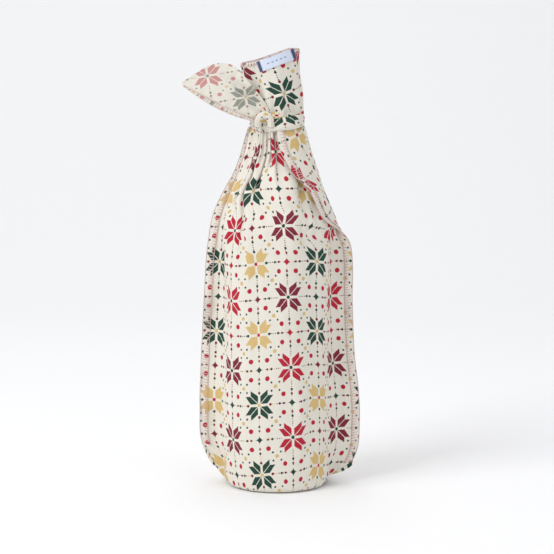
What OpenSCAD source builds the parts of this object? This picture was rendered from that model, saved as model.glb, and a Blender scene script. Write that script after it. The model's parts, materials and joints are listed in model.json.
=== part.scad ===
// Wine gift bag: a flat two-panel cotton bag round a 750 ml bottle, its mouth tied in a knot on the neck.
// +Z is up, X runs across the bag and the front faces -Y. The origin is on the surface that the bag
// stands on, under the bottle's axis. All sizes are in millimetres.

/* [Bottle] */
// Outer diameter of the body
bottle_d = 76; // [70:0.5:86]
// Height to the top of the mouth
bottle_h = 300; // [290:1:330]
// Outer diameter of the neck
neck_d = 28; // [26:0.5:31]
// Diameter of the bore that the cork fills
bore_d = 18.5; // [17.5:0.5:19.5]
// Thickness of the glass
glass_t = 3.5; // [2.5:0.1:4]
// Height at which the shoulder starts
shoulder_z = 188; // [160:1:200]
// Height at which the neck starts
neck_z = 228; // [215:1:236]
// Radius of the heel, between the base and the body
heel_r = 7; // [4:0.5:9]
// Height of the punt in the base
punt_h = 18; // [5:1:30]
// Length of the cork
cork_l = 45; // [38:1:49]
// Length of the foil capsule over the neck
capsule_l = 55; // [40:1:65]

/* [Bag] */
// Thickness of one layer of the cloth as it drapes
cloth_t = 1; // [0.6:0.1:1.4]
// Room between the bottle and the cloth
slack = 1; // [0.5:0.1:3]
// Thickness of the gathered cloth where it meets the knot
gather_t = 2.4; // [1.6:0.1:3]
// Width of the loose left side beyond the bottle
left_fin = 16; // [9:0.5:26]
// Width of the loose right side beyond the bottle
right_fin = 20; // [9:0.5:26]
// Height of the left bottom corner
left_corner_z = 42; // [15:1:60]
// Height of the right bottom corner
right_corner_z = 24; // [15:1:60]
// Width that the overlock stitches cover
seam_w = 6; // [4:0.5:8]
// Thickness of the overlock thread on each side of the cloth
thread_t = 0.4; // [0.2:0.05:0.6]

/* [Knot] */
// Distance from the bottle's mouth down to the middle of the knot
knot_drop = 36; // [30:1:42]
// Height of the band round the neck
band_h = 15; // [10:0.5:18]
// Thickness of the band
band_t = 3; // [2:0.1:4]
// Thickness of the wrap in front of the band
wrap_t = 5.5; // [3:0.5:7]
// Thickness of the rope that loops at the left of the knot
loop_d = 6; // [4:0.5:7]

/* [Tails] */
// Height of the upper tail's rim above the bottle's mouth
rim_rise = 10; // [6:0.5:20]
// Slope of the rim, in degrees
rim_slope = 17; // [0:1:20]
// How far the upper tail flares at its rim
flare = 4; // [1:0.5:8]
// Length of the left tail
tail_l = 56; // [45:1:80]
// Width of the left tail
tail_w = 30; // [20:1:36]
// Thickness of the left tail
tail_t = 2.4; // [1.6:0.1:3]
// Angle of the left tail above the level, in degrees
tail_rise = 21; // [10:1:30]

/* [Label] */
// Length of the woven label
label_l = 28; // [18:0.5:32]
// Width of the woven label
label_w = 8; // [6:0.5:10]
// Thickness of the woven label
label_t = 0.5; // [0.3:0.1:0.8]
// Slope of the label, in degrees
label_slope = 20; // [0:1:28]

/* [Hidden] */
$fn = 96;

fit_gap = 0.3; // between pieces that lie beside each other
steps = 8; // stations in each stretch of a profile

// The bottle stands on the cloth
bottle_r = bottle_d / 2;
neck_r = neck_d / 2;
bore_r = bore_d / 2;
mouth_z = cloth_t + bottle_h;
finish_h = 16; // glass band that the capsule is crimped under
finish_step = 0.7; // how far that band stands out from the neck
finish_r = neck_r + finish_step;
foil_t = 0.3;
foil_gap = 0.1;
capsule_r = finish_r + foil_gap + foil_t;
stand_w = 3; // width of the ring that the bottle stands on, inside its heel
punt_r = bottle_r - heel_r - stand_w;
cork_drop = 1; // from the bottle's mouth down to the cork's top
cork_gap = 0.03; // keeps the cork's face just off the glass

// The bag's outer line: a round heel, an upright body and a straight taper to the knot
knot_z = mouth_z - knot_drop;
gather_z = knot_z - band_h / 2 - fit_gap;
sleeve_r = capsule_r + fit_gap + cloth_t; // outside of the cloth that passes up through the knot
gather_r = sleeve_r + gather_t;
bag_r = bottle_r + slack + cloth_t;
heel_ease = 2; // the cloth rounds the heel this much more softly than the glass does
heel_h = heel_r + heel_ease;
base_r = bag_r - heel_r;
shoulder_room = 1; // the taper starts this far above the shoulder, so that it clears the glass
taper_z = shoulder_z + cloth_t + shoulder_room;

function line_r(z) =
    z < heel_h ? base_r + heel_r * sqrt(1 - pow(1 - z / heel_h, 2))
    : z < taper_z ? bag_r
    : bag_r + (gather_r - bag_r) * (z - taper_z) / (gather_z - taper_z);
function wall(z) =
    z < taper_z ? cloth_t
    : cloth_t + (gather_t - cloth_t) * (z - taper_z) / (gather_z - taper_z);

heel_zs = [for (i = [0:steps - 1]) heel_h * (1 - cos(90 * i / steps))];
body_zs = [for (i = [0:steps - 1]) heel_h + (taper_z - heel_h) * i / steps];
taper_zs = [for (i = [0:steps]) taper_z + (gather_z - taper_z) * i / steps];
bag_zs = concat(heel_zs, body_zs, taper_zs);

// The loose side is widest at its corner and runs out at the base and at the knot
sewn_w = 2; // the overlock stitches run where a loose side is wider than this
fin_bulge = 0.6; // below 1 keeps it wide for most of its height
function fin_share(z, corner_z) =
    z < corner_z ? sin(90 * z / corner_z) : pow((gather_z - z) / (gather_z - corner_z), fin_bulge);
function edge_x(z, fin, corner_z) = line_r(z) + fin * fin_share(z, corner_z);

// Band, wrap and loop of the knot
band_in = sleeve_r + fit_gap;
band_out = band_in + band_t;
wrap_in = band_out + fit_gap;
wrap_from = -90; // degrees round the neck from +X
wrap_to = -38;
loop_hole_r = 1.2;
loop_r = loop_d / 2 + loop_hole_r; // middle of the rope to the middle of the loop
loop_shift = 2.6; // from the loop's right side to the bottle's axis
loop_from = -20; // degrees round the loop from +X
loop_turn = 250;
loop_x = -loop_r - loop_d / 2 - loop_shift;
loop_y = -band_out - loop_d / 2 - fit_gap;

// The left tail turns on a round root beside the knot and folds across its middle
root_r = 3;
root_inset = 3.2; // from the band's left side to the root's axis
root_x = -band_out + root_inset;
root_y = -sqrt(pow(band_out + fit_gap, 2) - pow(root_x + root_r, 2)) - tail_t / 2 - thread_t;
root_lift = 5; // above the middle of the knot
root_z = knot_z + root_lift;
fold_x = tail_l / 2;
fold_gap = 1.4; // keeps the two halves apart when the tail folds

// Outline of the left tail, as shares of its length and width from the root
tail_top = [[0.15, 0.3], [0.38, 0.7], [0.6, 0.72], [0.78, 0.66], [0.9, 0.5], [0.97, 0.2], [1, 0.02]];
tail_foot = [[0.97, -0.03], [0.8, -0.13], [0.6, -0.22], [0.38, -0.28], [0.14, -0.24]];
function tail_points(shares, lift) = [for (p = shares) [p.x * tail_l, p.y * tail_w + lift]];
root_arc = [for (a = [270:-30:90]) [root_r * cos(a), root_r * sin(a)]];
tail_outline = concat(root_arc, tail_points(tail_top, 0), tail_points(tail_foot, 0));

module ring_profile(r_in, r_out, height) {
    // Rounded section of a ring, in the r-z plane
    mid = (r_in + r_out) / 2;
    half = (r_out - r_in) / 2;
    polygon([for (a = [0:15:345]) [mid + half * cos(a), height / 2 * sin(a)]]);
}

module bottle() {
    half_turn = [for (i = [0:steps]) i / steps];
    outer = concat(
        [for (t = half_turn) [punt_r * t, punt_h * (1 - t * t)]],
        [for (a = [0:15:90]) [bottle_r - heel_r + heel_r * sin(a), heel_r * (1 - cos(a))]],
        [for (t = half_turn) [neck_r + (bottle_r - neck_r) * (1 + cos(180 * t)) / 2,
            shoulder_z + (neck_z - shoulder_z) * t]],
        [[neck_r, bottle_h - finish_h], [finish_r, bottle_h - finish_h + finish_step], [finish_r, bottle_h]]
    );
    inside_r = bottle_r - glass_t;
    inner = concat(
        [[bore_r, bottle_h]],
        [for (t = half_turn) [bore_r + (inside_r - bore_r) * (1 - cos(180 * t)) / 2,
            neck_z - (neck_z - shoulder_z) * t]],
        [for (a = [90:-15:0]) [inside_r - heel_r + heel_r * sin(a), glass_t + heel_r * (1 - cos(a))]],
        [for (i = [steps - 1:-1:0])
            [(punt_r - glass_t) * i / steps, glass_t + punt_h * (1 - pow(i / steps, 2))]]
    );
    color([0.16, 0.24, 0.14])
        translate([0, 0, cloth_t])
            rotate_extrude() polygon(concat(outer, inner));
}

module cork() {
    color([0.76, 0.6, 0.42])
        translate([0, 0, mouth_z - cork_l - cork_drop])
            cylinder(r = bore_r - cork_gap, h = cork_l);
}

module capsule() {
    color([0.42, 0.05, 0.1])
        difference() {
            translate([0, 0, mouth_z - capsule_l]) cylinder(r = capsule_r, h = capsule_l + foil_t);
            translate([0, 0, mouth_z - capsule_l - 1]) cylinder(r = capsule_r - foil_t, h = capsule_l + 1);
        }
}

module fin_plate(fin, corner_z) {
    // One layer of the loose side, standing in the X-Z plane on the -Y side
    edge = [for (z = bag_zs) [edge_x(z, fin, corner_z), z]];
    root = [for (i = [len(bag_zs) - 1:-1:0]) [line_r(bag_zs[i]) - cloth_t / 2, bag_zs[i]]];
    rotate([90, 0, 0]) linear_extrude(cloth_t) polygon(concat(edge, root));
}

module half_bag(right, right_z, left, left_z) {
    // The -Y half of the bag: a half shell with a loose side at +X and at -X
    inner = [for (i = [len(bag_zs) - 1:-1:0]) if (bag_zs[i] > cloth_t)
        [line_r(bag_zs[i]) - wall(bag_zs[i]), bag_zs[i]]];
    shell = concat([[0, 0]], [for (z = bag_zs) [line_r(z), z]], inner,
        [[line_r(cloth_t) - cloth_t, cloth_t], [0, cloth_t]]);
    difference() {
        union() {
            rotate([0, 0, 180]) rotate_extrude(angle = 180) polygon(shell);
            fin_plate(right, right_z);
            mirror([1, 0, 0]) fin_plate(left, left_z);
        }
        translate([-base_r, -seam_w / 2, -1]) cube([2 * base_r, seam_w, cloth_t + 1]);
    }
}

module front_panel() {
    color([0.93, 0.91, 0.85])
        half_bag(right_fin, right_corner_z, left_fin, left_corner_z);
}

module back_panel() {
    color([0.92, 0.9, 0.84])
        rotate([0, 0, 180]) half_bag(left_fin, left_corner_z, right_fin, right_corner_z);
}

module side_stitching(fin, corner_z) {
    // Thread that wraps both layers of a loose side along its edge
    zs = [for (z = bag_zs) if (fin * fin_share(z, corner_z) > sewn_w && z > cloth_t) z];
    edge = [for (z = zs) [edge_x(z, fin, corner_z) + thread_t, z]];
    inside = [for (i = [len(zs) - 1:-1:0])
        [max(edge_x(zs[i], fin, corner_z) - seam_w, line_r(zs[i]) + thread_t), zs[i]]];
    half_t = cloth_t + thread_t;
    difference() {
        translate([0, half_t, 0]) rotate([90, 0, 0]) linear_extrude(2 * half_t) polygon(concat(edge, inside));
        fin_plate(fin, corner_z);
        translate([0, cloth_t, 0]) fin_plate(fin, corner_z);
    }
}

module left_seam_stitching() {
    color([0.95, 0.88, 0.84]) mirror([1, 0, 0]) side_stitching(left_fin, left_corner_z);
}

module right_seam_stitching() {
    color([0.95, 0.88, 0.84]) side_stitching(right_fin, right_corner_z);
}

module bottom_seam_stitching() {
    color([0.95, 0.88, 0.84])
        translate([-base_r, -seam_w / 2, 0]) cube([2 * base_r, seam_w, cloth_t]);
}

module knot_band() {
    color([0.93, 0.9, 0.84])
        translate([0, 0, knot_z])
            rotate_extrude()
                difference() {
                    translate([band_in, -band_h / 2]) square([band_t, band_h]);
                    for (side = [-1, 1])
                        translate([band_out, side * band_h / 2])
                            rotate([0, 0, 45]) square(band_t, center = true);
                }
}

module knot_wrap() {
    color([0.94, 0.91, 0.86])
        translate([0, 0, knot_z])
            rotate([0, 0, wrap_from])
                rotate_extrude(angle = wrap_to - wrap_from)
                    ring_profile(wrap_in, wrap_in + wrap_t, band_h);
}

module knot_loop() {
    color([0.92, 0.87, 0.8])
        translate([loop_x, loop_y, knot_z])
            rotate([90, 0, 0])
                rotate([0, 0, loop_from])
                    rotate_extrude(angle = loop_turn)
                        translate([loop_r, 0]) circle(r = loop_d / 2);
}

module flared_sleeve(r_in, r_out, from_z, to_z) {
    // A tube that flares from the knot's top to the rim
    flare_z = knot_z + band_h / 2;
    top_flare = flare * (to_z - flare_z) / (mouth_z + rim_rise - flare_z);
    start = max(from_z, flare_z);
    start_flare = flare * (start - flare_z) / (mouth_z + rim_rise - flare_z);
    rotate_extrude()
        polygon(concat(
            from_z < flare_z ? [[r_in, from_z], [r_out, from_z]] : [],
            [[r_out + start_flare, start], [r_out + top_flare, to_z],
                [r_in + top_flare, to_z], [r_in + start_flare, start]]
        ));
}

module below_rim(lower) {
    // Everything under the sloping rim, moved down by lower
    reach = 3 * bag_r;
    translate([0, 0, mouth_z + rim_rise - lower])
        rotate([0, -rim_slope, 0])
            translate([-reach, -reach, -2 * reach]) cube(2 * reach);
}

sleeve_top = mouth_z + rim_rise + 2 * (sleeve_r + flare) * tan(rim_slope);

module upper_tail() {
    color([0.93, 0.91, 0.86])
        intersection() {
            flared_sleeve(sleeve_r - cloth_t, sleeve_r, gather_z + fit_gap, sleeve_top);
            below_rim(0);
        }
}

module upper_tail_stitching() {
    color([0.95, 0.88, 0.84])
        difference() {
            intersection() {
                flared_sleeve(sleeve_r, sleeve_r + thread_t, knot_z + band_h / 2, sleeve_top);
                below_rim(0);
            }
            below_rim(seam_w / 2);
        }
}

module label_box(length, width) {
    // Cuts a sloping strip out of the front of the flared sleeve, just under the rim
    reach = 2 * sleeve_r;
    label_z = mouth_z + rim_rise - label_w / 2 - label_drop;
    translate([0, 0, label_z])
        rotate([0, -label_slope, 0])
            translate([-length / 2, -reach, -width / 2]) cube([length, reach, width]);
}

label_lift = thread_t + 0.1; // lies over the rim's stitches
label_drop = 1; // from the rim down to the label's top edge
tack_w = 1.2; // width of the bar tack on each end of the label
tack_inset = 0.5; // from the label's edge to its bar tacks

module label_skin(lift, thickness) {
    difference() {
        flared_sleeve(sleeve_r + lift, sleeve_r + lift + thickness, knot_z + band_h / 2, sleeve_top);
        translate([-bag_r, 0, 0]) cube([2 * bag_r, bag_r, sleeve_top]);
    }
}

module label() {
    color([0.88, 0.91, 0.97])
        intersection() {
            label_skin(label_lift, label_t);
            label_box(label_l, label_w);
        }
}

module label_stitches() {
    // Bar tacks, one on each end of the label
    color([0.12, 0.2, 0.45])
        intersection() {
            label_skin(label_lift + label_t, thread_t);
            difference() {
                label_box(label_l - 2 * tack_inset, label_w - 2 * tack_inset);
                label_box(label_l - 2 * (tack_inset + tack_w), label_w);
            }
        }
}

module in_tail_frame() {
    // X along the left tail from its root, Y up its width, Z through its thickness
    translate([root_x, root_y, root_z]) rotate([0, tail_rise, 0]) rotate([90, 0, 180]) children();
}

module stretch(from_x, to_x, thickness) {
    // Everything between two distances from the root, as thick as asked
    translate([from_x, -tail_w, -thickness / 2]) cube([to_x - from_x, 2 * tail_w, thickness]);
}

module tail_slab(from_x, to_x) {
    in_tail_frame()
        intersection() {
            translate([0, 0, -tail_t / 2]) linear_extrude(tail_t) polygon(tail_outline);
            stretch(from_x, to_x, 2 * tail_t);
        }
}

module tail_edge(from_x, to_x) {
    // Overlock thread that wraps the left tail's lower edge
    edge_w = seam_w / 2;
    full_t = tail_t + 2 * thread_t;
    under = tail_points(tail_foot, -thread_t);
    over = tail_points(tail_foot, edge_w);
    in_tail_frame()
        difference() {
            intersection() {
                translate([0, 0, -full_t / 2])
                    linear_extrude(full_t)
                        polygon(concat(under, [for (i = [len(over) - 1:-1:1]) over[i]]));
                stretch(from_x, to_x, full_t);
            }
            translate([0, 0, -tail_t / 2]) linear_extrude(tail_t) polygon(tail_outline);
        }
}

module left_tail() {
    color([0.9, 0.88, 0.82]) tail_slab(-root_r - 1, fold_x - fold_gap);
}

module left_tail_stitching() {
    color([0.93, 0.85, 0.82]) tail_edge(0, fold_x - fold_gap);
}

module left_tail_tip() {
    color([0.9, 0.88, 0.82]) tail_slab(fold_x + fold_gap, tail_l + 1);
}

module left_tail_tip_stitching() {
    color([0.93, 0.85, 0.82]) tail_edge(fold_x + fold_gap, tail_l + 1);
}

bottle();
cork();
capsule();
front_panel();
back_panel();
left_seam_stitching();
right_seam_stitching();
bottom_seam_stitching();
knot_band();
knot_wrap();
knot_loop();
upper_tail();
upper_tail_stitching();
left_tail();
left_tail_stitching();
left_tail_tip();
left_tail_tip_stitching();
label();
label_stitches();
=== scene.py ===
"""Wine gift bag: the printed cotton bag, its threads and its label, built round the CAD frame.

The bag is two flat panels, sewn outside at the sides and under the bottle. Each panel is worked out from
the flat cloth: at every height its section has the width that the flat panel has, so the print keeps its
size and the spare width goes into the loose sides and into the folds under the knot. Lengths in metres.
"""
import json
import math

import bpy
import numpy as np
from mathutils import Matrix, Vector


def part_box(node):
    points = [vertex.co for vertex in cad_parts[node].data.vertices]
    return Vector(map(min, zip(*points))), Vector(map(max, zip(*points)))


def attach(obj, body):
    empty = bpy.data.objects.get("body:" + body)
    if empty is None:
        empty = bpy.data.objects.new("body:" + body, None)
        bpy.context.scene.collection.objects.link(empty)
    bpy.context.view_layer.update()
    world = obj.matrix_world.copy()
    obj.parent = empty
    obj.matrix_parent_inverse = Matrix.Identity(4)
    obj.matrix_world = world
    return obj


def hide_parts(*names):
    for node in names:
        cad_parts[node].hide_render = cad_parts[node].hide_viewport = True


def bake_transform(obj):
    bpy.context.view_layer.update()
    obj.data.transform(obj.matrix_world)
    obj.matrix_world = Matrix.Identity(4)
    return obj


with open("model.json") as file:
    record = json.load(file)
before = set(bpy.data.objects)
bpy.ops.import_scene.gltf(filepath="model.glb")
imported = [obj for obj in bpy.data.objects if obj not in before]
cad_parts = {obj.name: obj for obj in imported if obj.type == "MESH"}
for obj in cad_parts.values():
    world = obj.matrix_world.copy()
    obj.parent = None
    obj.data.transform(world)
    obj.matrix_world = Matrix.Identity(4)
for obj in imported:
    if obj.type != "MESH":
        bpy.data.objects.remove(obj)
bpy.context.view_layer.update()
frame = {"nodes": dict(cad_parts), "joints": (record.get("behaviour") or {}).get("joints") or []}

MM = 0.001

# ---------------------------------------------------------------- sizes

panel_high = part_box("front_panel")[1]
band_low, band_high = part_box("knot_band")
bottle_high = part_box("bottle")[1]
capsule_low, capsule_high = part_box("capsule")
tail_low, tail_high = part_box("left_tail")
seam_low, seam_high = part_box("bottom_seam_stitching")

CLOTH = 0.45 * MM  # thickness of the cotton
THREAD_LIFT = 0.12 * MM  # from the cloth's face to the middle of the needle stitches
NECK_GLASS_R = 14 * MM  # radius of the bottle's neck
LEAST_GAP = 0.3 * MM  # between the cloth and what it covers
HEEL = 4.5 * MM  # how far the cloth rounds over the bottle's heel
EAR_RISE = 4 * MM  # height over which an ear's rim joins the body
LABEL_L, LABEL_W, LABEL_T = 28 * MM, 7.8 * MM, 0.5 * MM
TOP_ROW = 8  # rows of the print are counted down from this one
FLOOR_GAP = 0.3 * MM  # height of the cloth's underside under the bottle
BODY_R = bottle_high.x + 1.6 * MM  # outside of the cloth on the bottle's body
NECK_R = capsule_high.x + 0.6 * MM
TOP_Z = panel_high.z + 4 * MM  # the panels end inside the knot
KNOT_Z = (band_low.z + band_high.z) / 2
PANEL_W = 155 * MM  # flat width between the side seams
BASE_RUN = 36 * MM  # cloth between the bottom seam and the front of the bottle
SEAM_W = 5.5 * MM  # width of the overlock stitches
PRINT_STEP = 25.4 * MM  # from one printed motif to the next
PRINT_U = 9 * MM  # places one column and one row of the print on the flat panel
PRINT_V = 26.7 * MM

COLUMNS = 200
ROWS = 150
BASE_ROWS = 14


def curve(stations):
    """A smooth function through a few (position, value) stations, both in millimetres."""
    xs = np.array([s[0] for s in stations]) * MM
    ys = np.array([s[1] for s in stations]) * MM
    slope = np.gradient(ys, xs)

    def at(x):
        x = np.clip(np.asarray(x, float), xs[0], xs[-1])
        i = np.clip(np.searchsorted(xs, x, side="right") - 1, 0, len(xs) - 2)
        h = xs[i + 1] - xs[i]
        t = (x - xs[i]) / h
        a = (1 + 2 * t) * (1 - t) ** 2 * ys[i] + t * (1 - t) ** 2 * h * slope[i]
        return a + t * t * (3 - 2 * t) * ys[i + 1] + t * t * (t - 1) * h * slope[i + 1]

    return at


def ease(x, low, high):
    """0 below low, 1 above high, smooth between."""
    t = np.clip((np.asarray(x, float) - low) / (high - low), 0, 1)
    return t * t * (3 - 2 * t)


# Outer lines of the bag against height
body_r = curve([(0, 39.2), (60, 39.8), (130, 40.2), (168, 41.4), (188, 41.6), (202, 38.8), (216, 33.4),
                (230, 27.8), (245, 23), (257, 20.4), (TOP_Z / MM, 19)])
left_tip = curve([(0, 40), (12, 46), (30, 54.5), (55, 56), (92, 55), (135, 52.6), (176, 49.7), (200, 45),
                  (215, 38), (230, 29.6), (245, 24), (255, 20.6), (TOP_Z / MM, 18.4)])
right_tip = curve([(0, 42), (10, 51), (20, 57), (45, 60), (70, 59), (92, 56.4), (135, 54.4), (172, 53.5),
                   (190, 50), (215, 45), (TOP_Z / MM, 34)])
# Where the loose right side turns forward, and how much of it lies over the front
fold_line = curve([(172, 49), (182, 47), (193, 42.8), (208, 36.5), (222, 31.5), (237, 26.4), (251, 22.2),
                   (TOP_Z / MM, 19.6)])
flap_run = curve([(172, 12), (186, 16), (193, 24), (200, 29), (212, 29), (220, 30), (227, 34), (240, 36),
                  (257, 35), (TOP_Z / MM, 33)])
# Where the print's middle column stands on the front
column_x = curve([(0, 12), (35, 11.8), (86, 10.5), (137, 8.5), (188, 5.2), (237, -0.8), (TOP_Z / MM, -2.5)])
# Lower edge of each ear: height of the bottom seam against distance from the axis
left_ear = curve([(0, 0.3), (34, 0.3), (42.5, 7), (46, 17), (52, 26), (55, 33), (60, 42)])
right_ear = curve([(0, 0.3), (33, 0.3), (41, 5), (50, 10), (57, 20), (60, 30), (66, 40)])


def clear_of_bottle(z):
    """Least radius of the cloth's outside that keeps its inside off the glass and the capsule."""
    neck_z, shoulder_z = 229 * MM, 189 * MM
    t = ease(z, shoulder_z, neck_z)
    glass = bottle_high.x + (NECK_GLASS_R - bottle_high.x) * t
    foil = np.where(np.asarray(z) > capsule_low.z - 4 * MM, capsule_high.x, 0)
    return np.maximum(glass, foil) + CLOTH + LEAST_GAP


def keep_clear(grid):
    """Moves the cloth out to where it clears the bottle."""
    radius = np.hypot(grid[..., 0], grid[..., 1])
    least = clear_of_bottle(grid[..., 2])
    above_base = grid[..., 2] > 6 * MM
    scale = np.where(above_base & (radius < least), least / np.maximum(radius, 1e-6), 1.0)
    grid[..., 0] *= scale
    grid[..., 1] *= scale
    return grid


def ripple(p, lengths, seed, count=7):
    """Smooth noise in -1..1 over points p (..., 2), with different wavelengths along each axis."""
    rng = np.random.default_rng(seed)
    total = np.zeros(p.shape[:-1])
    for _ in range(count):
        scale = rng.uniform(0.7, 1.5)
        turn = rng.normal(0, 0.35)
        kx = 2 * math.pi / lengths[0] * scale
        ky = 2 * math.pi / lengths[1] * scale
        phase = rng.uniform(0, 2 * math.pi)
        leaning = p[..., 0] + turn * p[..., 1] * ky / kx
        total += np.sin(kx * leaning + ky * rng.choice([-1, 1]) * p[..., 1] + phase)
    return total / math.sqrt(count)


# ---------------------------------------------------------------- sections of the panels

FOLD_OVER = (0.174, 0.198)  # the right side turns over to the front between these heights
GO_SLACK = (0.19, 0.225)  # the cloth goes slack under the knot between these heights
SLACK_LEAVE = math.radians(13)  # from the bottle's side to where slack cloth leaves it
HAIRPIN = math.radians(11)  # how much further round the front layer starts to turn over
SEWN_LEFT, SEWN_RIGHT = 7 * MM, 9 * MM  # width of the flat strip along each edge
LAYER_GAP = 0.5  # mm from the middle to each layer at the edge
PART_GAP = 1.1  # mm that each layer parts further towards the bottle


def hermite(p0, p1, t0, t1, count=24):
    """Points of a smooth curve from p0 to p1 that leaves along t0 and arrives along t1."""
    t = np.linspace(0, 1, count)[:, None]
    h = np.linalg.norm(p1 - p0)
    return ((1 + 2 * t) * (1 - t) ** 2 * p0 + t * (1 - t) ** 2 * h * t0
            + t * t * (3 - 2 * t) * p1 + t * t * (t - 1) * h * t1)


def side_path(z, right, front):
    """From the circle round the bottle out to the tip of a loose side. The front layer is on the -Y side.

    On the right the loose side folds over to the front as it nears the knot. q is how far it has folded.
    The front layer starts to turn over further round than the back layer does.
    """
    r = float(body_r(z))
    tip = float(right_tip(z) if right else left_tip(z))
    q = float(ease(z, *FOLD_OVER)) if right else 0.0
    # the cloth leaves the bottle nearly taut, and goes slack near the knot and low on the left
    taut = 0.88 if right else 0.9 - 0.2 * float(ease(z, 0.13, 0.08))
    leave = math.acos(min(r / tip, 0.999)) * taut
    near_knot = float(ease(z, *GO_SLACK))
    leave = leave * (1 - near_knot) + SLACK_LEAVE * near_knot
    steps = 30
    share = np.linspace(0, 1, steps + 1)
    sewn = SEWN_RIGHT if right else SEWN_LEFT
    root_x = max(tip - sewn, r + min(1.5 * MM, (tip - r) / 2))
    straight = np.stack([root_x + share * max(tip - root_x, 1.2 * MM), 0 * share], 1)
    hairpin = HAIRPIN if front else 0.0
    end = float(flap_run(z)) / (r + 2 * MM)
    phi = hairpin + share * (end - hairpin)
    rest = r + 1.7 * MM
    radius = rest + (float(fold_line(z)) - rest) * np.exp(-(phi / 0.5) ** 2)
    bent = np.stack([radius * np.cos(phi), -radius * np.sin(phi)], 1)
    mid = straight * (1 - q) + bent * q
    ahead = np.gradient(mid, axis=0)
    ahead /= np.linalg.norm(ahead, axis=1)[:, None]
    normal = np.stack([ahead[:, 1], -ahead[:, 0]], 1)
    side = 1.0 if front else -1.0
    # the two layers lie close together at the edge and part towards the bottle
    parted = (LAYER_GAP + PART_GAP * (1 - share) ** 0.7 * (1 - q)) * MM
    layer = mid + normal * parted[:, None] * side
    leave_at = np.array([r * math.cos(leave), -side * r * math.sin(leave)])
    tangent = np.array([math.sin(leave), side * math.cos(leave)])
    arrive = -0.9 if front else 1.2
    join = hermite(leave_at, layer[0], tangent * 1.1, (1 - q) * np.array([1.2, 0.0]) + q * ahead[0] * arrive)
    return leave, np.vstack([join[:-1], layer])


def carrier(z, front):
    """The section without folds, from the left tip to the right tip, as seen on the front or the back."""
    side = 1.0 if front else -1.0
    r = float(body_r(z))
    leave_l, left = side_path(z, False, front)
    leave_r, right = side_path(z, True, front)
    left = left[::-1] * np.array([-1.0, 1.0])
    start = math.pi + leave_l
    end = 2 * math.pi - leave_r
    angles = np.linspace(start, end, 160)[1:-1]
    arc = np.stack([r * np.cos(angles), side * r * np.sin(angles)], 1)
    points = np.vstack([left, arc, right])
    gaps = np.linalg.norm(np.diff(points, axis=0), axis=1)
    length = np.append(0, np.cumsum(gaps))
    first, last = length[len(left) - 1], length[len(left) + len(arc)]
    x = float(column_x(z)) if front else 0.0
    column_angle = 2 * math.pi - math.acos(x / r)
    column = first + (last - first) * (column_angle - start) / (end - start)
    return points, length, first, last, column


# Valleys of the folds, as (place on the flat cloth, width, height where it starts, height where it is full)
FRONT_FOLDS = ((-31, 17, 150, 185), (29, 17, 150, 190), (-53, 15, 178, 212), (-12, 14, 206, 232),
               (12, 14, 212, 236), (-42, 9, 222, 244), (-22, 9, 224, 246), (0, 9, 224, 246),
               (20, 9, 224, 246), (-63, 9, 216, 240), (46, 12, 206, 232))
BACK_FOLDS = ((-24, 16, 165, 205), (8, 17, 160, 200), (-46, 15, 185, 215), (34, 15, 190, 218),
              (-8, 10, 214, 240), (22, 10, 216, 240), (-35, 9, 222, 244), (-58, 10, 214, 240),
              (48, 10, 216, 240), (58, 9, 222, 244))


def folds(u, z, front):
    """Slope of the folds over the flat width u, before it is scaled to take up the spare cloth."""
    slope = 0 * u
    for place, width, start, full in (FRONT_FOLDS if front else BACK_FOLDS):
        weight = float(ease(z, start * MM, full * MM))
        half = width * MM / 4
        lean = 1.5 * MM * math.sin(z / (23 * MM) + place)
        into = np.exp(-((u - place * MM - lean + half) / (half * 0.8)) ** 2)
        out = np.exp(-((u - place * MM - lean - half) / (half * 0.8)) ** 2)
        slope += weight * (out - into)
    broad = np.sin(2 * math.pi * u / (47 * MM) + (1.0 if front else 2.2) + 0.5 * np.sin(u / (19 * MM)))
    return slope + 0.25 * broad


def fold_scale(slope, step, wanted):
    """How steep the folds are made so that the cloth covers just the wanted length."""
    low, high = 0.0, 2.0
    for _ in range(24):
        middle = (low + high) / 2
        if np.sum(np.cos(middle * slope)) * step > wanted:
            low = middle
        else:
            high = middle
    return middle


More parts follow.
